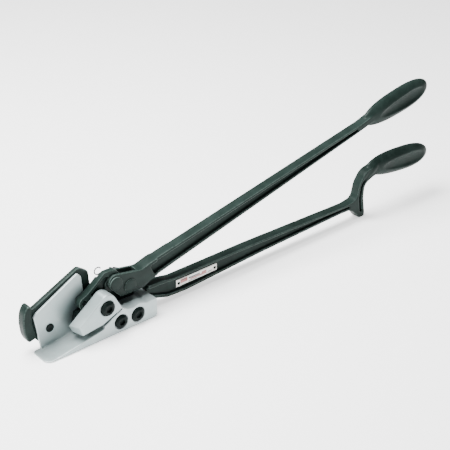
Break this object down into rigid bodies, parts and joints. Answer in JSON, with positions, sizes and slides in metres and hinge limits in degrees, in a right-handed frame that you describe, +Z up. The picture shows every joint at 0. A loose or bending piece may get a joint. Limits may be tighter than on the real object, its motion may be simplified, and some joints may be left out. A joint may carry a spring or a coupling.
{
  "type": "steel strapping tensioner",
  "caption": "Two-handled tensioner for steel strapping: a silver ramped shoe, a pivoting holding dog, and a long lever that drives a curved gripper arm.",
  "frame": {"origin": "middle of the shoe's flat sole, on the surface that the tool rests on", "axes": "+X from the nose towards the grips, +Y away from the side where the strap is put in, +Z up from the sole"},
  "size_m": [0.6609, 0.0515, 0.1749],
  "materials": {
    "green_black_enamel": "gloss",
    "satin_cast_steel": "satin",
    "black_oxide_steel": "black oxide",
    "hardened_pin_steel": "ground",
    "spring_wire": "bright",
    "printed_aluminium": "printed"
  },
  "bodies": {
    "frame": {"lower_handle_frame": "green_black_enamel", "base_shoe": "satin_cast_steel", "nose_rivet": "black_oxide_steel", "shoe_screw_front": "black_oxide_steel", "shoe_screw_rear": "black_oxide_steel", "dog_screw": "black_oxide_steel", "dog_spring_washer": "spring_wire", "main_pivot_pin": "green_black_enamel", "main_pivot_spacer": "hardened_pin_steel", "main_pivot_washer": "black_oxide_steel", "main_pivot_nut": "black_oxide_steel", "nameplate": "printed_aluminium", "nameplate_rivet_front": "hardened_pin_steel", "nameplate_rivet_rear": "hardened_pin_steel"},
    "lever": {"upper_handle": "green_black_enamel", "drive_pin": "green_black_enamel"},
    "arm": {"gripper_arm": "green_black_enamel", "arm_bushing": "hardened_pin_steel", "arm_spring": "spring_wire", "jaw_pin": "hardened_pin_steel"},
    "jaw": {"gripper_jaw": "black_oxide_steel"},
    "dog": {"holding_dog": "satin_cast_steel", "dog_bushing": "hardened_pin_steel"}
  },
  "joints": [
    {"name": "lever_pivot", "type": "hinge", "parent": "frame", "child": "lever", "pos_m": [0.0495, 0.0074, 0.0465], "axis": [0, -1, 0], "range_deg": [0, 60]},
    {"name": "arm_pivot", "type": "hinge", "parent": "lever", "child": "arm", "pos_m": [0.03, 0.0074, 0.0565], "axis": [0, 1, 0], "range_deg": [0, 79.2]},
    {"name": "jaw_pivot", "type": "hinge", "parent": "arm", "child": "jaw", "pos_m": [-0.0108, 0.0074, 0.0445], "axis": [0, 1, 0], "range_deg": [0, 6]},
    {"name": "dog_pivot", "type": "hinge", "parent": "frame", "child": "dog", "pos_m": [0.0082, -0.008, 0.0384], "axis": [0, -1, 0], "range_deg": [0, 9]}
  ],
  "couplings": [
    {"joint": "arm_pivot", "follows": "lever_pivot", "ratio": 1.32}
  ]
}
